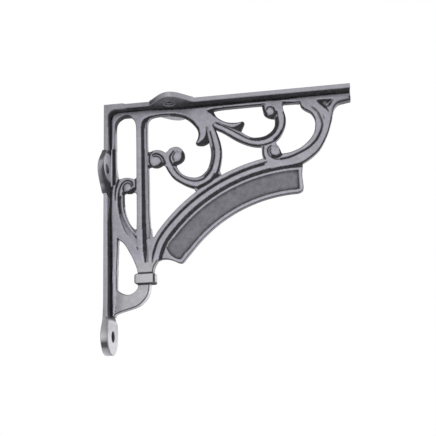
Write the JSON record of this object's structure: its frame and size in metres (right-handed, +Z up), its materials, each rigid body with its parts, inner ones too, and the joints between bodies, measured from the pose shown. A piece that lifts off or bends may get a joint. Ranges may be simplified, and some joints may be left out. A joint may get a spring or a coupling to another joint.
{
  "type": "shelf bracket",
  "caption": "Cast-iron right-angle shelf bracket in a forged scrollwork style, with a blank arched panel, a round lower foot and countersunk side ears on both arms.",
  "frame": {"origin": "outer corner of the bracket, where its wall plane and shelf plane meet, halfway through the web", "axes": "+X out from the wall along the shelf, +Z up, +Y through the thickness of the web; the part lies in x >= 0 and z <= 0"},
  "size_m": [0.226, 0.058, 0.228],
  "materials": {
    "plate_iron": "black patina with burnished edges",
    "web_iron": "burnished raised faces, black patina in the recesses",
    "foot_iron": "burnished satin"
  },
  "bodies": {
    "root": {"corner_angle": "plate_iron", "shelf_plate": "plate_iron", "shelf_ear_front": "plate_iron", "shelf_ear_back": "plate_iron", "wall_plate": "plate_iron", "wall_ear_front": "plate_iron", "wall_ear_back": "plate_iron", "corner_web": "web_iron", "shelf_rail": "web_iron", "wall_rail": "web_iron", "inner_bar": "web_iron", "side_scroll": "web_iron", "side_leaf": "web_iron", "arch_rail": "web_iron", "name_panel": "web_iron", "crown": "web_iron", "left_leaf": "web_iron", "left_scroll": "web_iron", "left_inner_eye": "web_iron", "left_free_eye": "web_iron", "right_leaf": "web_iron", "right_scroll": "web_iron", "right_eye": "web_iron", "end_scroll": "web_iron", "end_eye": "web_iron", "end_spandrel": "web_iron", "foot_pad": "foot_iron", "stem": "foot_iron", "collar": "foot_iron", "foot_elbow": "foot_iron"}
  },
  "joints": []
}
